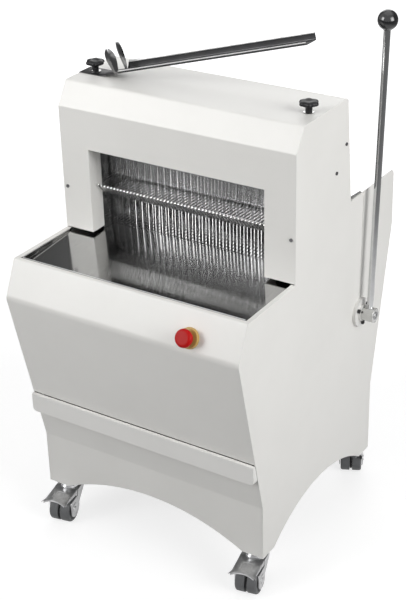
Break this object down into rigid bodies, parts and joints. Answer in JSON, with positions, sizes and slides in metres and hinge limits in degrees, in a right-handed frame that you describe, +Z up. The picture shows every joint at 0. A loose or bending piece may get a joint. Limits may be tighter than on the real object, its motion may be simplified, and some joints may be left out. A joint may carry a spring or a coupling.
{
  "type": "bread slicer",
  "caption": "Floor-standing bread slicer on castors: a side lever pushes a loaf through sawing blade frames under a hold-down comb onto a sloping front table; crumb drawer and bag scoop.",
  "frame": {"origin": "on the floor under the middle of the whole machine's box", "axes": "+X to the right seen from the front, +Y from the front table to the loading tray, +Z up"},
  "size_m": [0.6622, 0.7194, 1.2273],
  "materials": {
    "white_paint": "warm white powder coat",
    "drawer_paint": "white powder coat, a little glossier",
    "frame_paint": "grey primer",
    "stainless": "brushed stainless sheet",
    "machined_steel": "machined steel",
    "chrome": "polished",
    "flange_metal": "turned",
    "pulley_metal": "turned",
    "black_oxide": "blackened",
    "screw_steel": "plain",
    "black_gloss": "polished",
    "black_plastic": "moulded",
    "belt_rubber": "plain",
    "collar_yellow": "moulded",
    "cap_red": "moulded",
    "plunger_white": "moulded",
    "pressed_steel": "zinc-plated pressing",
    "wheel_grey": "grey tread"
  },
  "bodies": {
    "cabinet": {"base_frame": "frame_paint", "side_panel_left": "white_paint", "side_panel_right": "white_paint", "front_panel": "white_paint", "front_apron": "white_paint", "rear_panel": "white_paint", "tower_cover": "white_paint", "mouth_liners": "stainless", "tray_cheeks": "stainless", "front_table": "stainless", "bed_grid": "stainless", "rear_table": "stainless", "guide_bridge": "frame_paint", "slide_rods": "chrome", "lever_flanges": "flange_metal", "flange_bolts": "black_oxide", "cover_screws": "screw_steel", "motor": "frame_paint", "drive_belt": "belt_rubber", "pillow_blocks": "frame_paint", "control_box": "frame_paint", "cable_gland": "black_plastic", "stop_collar": "collar_yellow", "stop_contacts": "black_plastic", "drawer_runners": "frame_paint"},
    "lever": {"lever_shaft": "chrome", "lever_arms": "machined_steel", "lever_rod": "chrome", "lever_ball": "black_gloss"},
    "pusher": {"pusher_carriage": "machined_steel", "pusher_comb": "stainless"},
    "front_saw": {"front_blade_frame": "machined_steel", "front_blades": "stainless"},
    "rear_saw": {"rear_blade_frame": "machined_steel", "rear_blades": "stainless"},
    "crank": {"crankshaft": "chrome", "drive_pulley": "pulley_metal"},
    "rotor": {"motor_pulley": "pulley_metal"},
    "hold_down": {"comb_tube": "stainless", "comb_fingers": "stainless"},
    "drawer": {"crumb_tray": "stainless", "drawer_front": "drawer_paint"},
    "plunger": {"stop_plunger": "plunger_white"},
    "cap": {"stop_cap": "cap_red"},
    "scoop": {"bag_scoop": "chrome"},
    "scoop_knob": {"scoop_knob": "black_plastic"},
    "cover_knob": {"cover_knob": "black_plastic"},
    "front_right_castor": {"front_right_fork": "pressed_steel"},
    "front_right_roller": {"front_right_wheels": "wheel_grey"},
    "front_right_brake": {"front_right_pedal": "pressed_steel"},
    "front_left_castor": {"front_left_fork": "pressed_steel"},
    "front_left_roller": {"front_left_wheels": "wheel_grey"},
    "front_left_brake": {"front_left_pedal": "pressed_steel"},
    "rear_right_castor": {"rear_right_fork": "pressed_steel"},
    "rear_right_roller": {"rear_right_wheels": "wheel_grey"},
    "rear_right_brake": {"rear_right_pedal": "pressed_steel"},
    "rear_left_castor": {"rear_left_fork": "pressed_steel"},
    "rear_left_roller": {"rear_left_wheels": "wheel_grey"},
    "rear_left_brake": {"rear_left_pedal": "pressed_steel"}
  },
  "joints": [
    {"name": "lever_pull", "type": "hinge", "parent": "cabinet", "child": "lever", "pos_m": [-0.01815, 0.19973, 0.513], "axis": [1, 0, 0], "range_deg": [0, 60]},
    {"name": "pusher_feed", "type": "slide", "parent": "cabinet", "child": "pusher", "axis": [0, -1, 0], "range_m": [0, 0.18]},
    {"name": "front_saw_stroke", "type": "slide", "parent": "cabinet", "child": "front_saw", "axis": [0, 0, 1], "range_m": [-0.01, 0.01]},
    {"name": "rear_saw_stroke", "type": "slide", "parent": "cabinet", "child": "rear_saw", "axis": [0, 0, 1], "range_m": [-0.01, 0.01]},
    {"name": "crank_turn", "type": "hinge", "parent": "cabinet", "child": "crank", "pos_m": [-0.01815, -0.00526, 0.467], "axis": [1, 0, 0], "continuous": true},
    {"name": "motor_turn", "type": "hinge", "parent": "cabinet", "child": "rotor", "pos_m": [0.13185, -0.18027, 0.497], "axis": [1, 0, 0], "continuous": true},
    {"name": "hold_down_swing", "type": "hinge", "parent": "cabinet", "child": "hold_down", "pos_m": [-0.01815, 0.03624, 0.932], "axis": [-1, 0, 0], "range_deg": [0, 30]},
    {"name": "drawer_pull", "type": "slide", "parent": "cabinet", "child": "drawer", "axis": [0, -1, 0], "range_m": [0, 0.33]},
    {"name": "stop_press", "type": "slide", "parent": "cabinet", "child": "plunger", "axis": [0, 0.9073, -0.4205], "range_m": [0, 0.004], "stiffness_N_per_m": 900, "springref_m": -0.002},
    {"name": "stop_twist", "type": "hinge", "parent": "plunger", "child": "cap", "pos_m": [0.15785, -0.32549, 0.66256], "axis": [0, -0.9073, 0.4205], "range_deg": [0, 45]},
    {"name": "scoop_swivel", "type": "hinge", "parent": "cabinet", "child": "scoop", "pos_m": [-0.28815, -0.00327, 1.062], "axis": [0, 0, 1], "range_deg": [-100, 100]},
    {"name": "scoop_knob_turn", "type": "hinge", "parent": "cabinet", "child": "scoop_knob", "pos_m": [-0.28815, -0.00327, 1.075], "axis": [0, 0, 1], "continuous": true},
    {"name": "cover_knob_turn", "type": "hinge", "parent": "cabinet", "child": "cover_knob", "pos_m": [0.25185, -0.00327, 1.075], "axis": [0, 0, 1], "continuous": true},
    {"name": "front_right_swivel", "type": "hinge", "parent": "cabinet", "child": "front_right_castor", "pos_m": [0.24485, -0.21627, 0.084], "axis": [0, 0, 1], "continuous": true},
    {"name": "front_right_roll", "type": "hinge", "parent": "front_right_castor", "child": "front_right_roller", "pos_m": [0.25191, -0.25259, 0.0325], "axis": [0.9816, 0.1908, 0], "continuous": true},
    {"name": "front_right_brake_press", "type": "hinge", "parent": "front_right_castor", "child": "front_right_brake", "pos_m": [0.24752, -0.23001, 0.066], "axis": [0.9816, 0.1908, 0], "range_deg": [0, 3.5]},
    {"name": "front_left_swivel", "type": "hinge", "parent": "cabinet", "child": "front_left_castor", "pos_m": [-0.28115, -0.21627, 0.084], "axis": [0, 0, 1], "continuous": true},
    {"name": "front_left_roll", "type": "hinge", "parent": "front_left_castor", "child": "front_left_roller", "pos_m": [-0.27409, -0.25259, 0.0325], "axis": [0.9816, 0.1908, 0], "continuous": true},
    {"name": "front_left_brake_press", "type": "hinge", "parent": "front_left_castor", "child": "front_left_brake", "pos_m": [-0.27848, -0.23001, 0.066], "axis": [0.9816, 0.1908, 0], "range_deg": [0, 3.5]},
    {"name": "rear_right_swivel", "type": "hinge", "parent": "cabinet", "child": "rear_right_castor", "pos_m": [0.24485, 0.25873, 0.084], "axis": [0, 0, 1], "continuous": true},
    {"name": "rear_right_roll", "type": "hinge", "parent": "rear_right_castor", "child": "rear_right_roller", "pos_m": [0.22863, 0.29199, 0.0325], "axis": [-0.8988, -0.4384, 0], "continuous": true},
    {"name": "rear_right_brake_press", "type": "hinge", "parent": "rear_right_castor", "child": "rear_right_brake", "pos_m": [0.23871, 0.27132, 0.066], "axis": [-0.8988, -0.4384, 0], "range_deg": [0, 3.5]},
    {"name": "rear_left_swivel", "type": "hinge", "parent": "cabinet", "child": "rear_left_castor", "pos_m": [-0.28115, 0.25873, 0.084], "axis": [0, 0, 1], "continuous": true},
    {"name": "rear_left_roll", "type": "hinge", "parent": "rear_left_castor", "child": "rear_left_roller", "pos_m": [-0.26493, 0.29199, 0.0325], "axis": [-0.8988, 0.4384, 0], "continuous": true},
    {"name": "rear_left_brake_press", "type": "hinge", "parent": "rear_left_castor", "child": "rear_left_brake", "pos_m": [-0.27501, 0.27132, 0.066], "axis": [-0.8988, 0.4384, 0], "range_deg": [0, 3.5]}
  ],
  "couplings": [
    {"joint": "pusher_feed", "follows": "lever_pull", "m_per_rad": 0.17188},
    {"joint": "rear_saw_stroke", "follows": "front_saw_stroke", "ratio": -1},
    {"joint": "motor_turn", "follows": "crank_turn", "ratio": 1.9259}
  ]
}
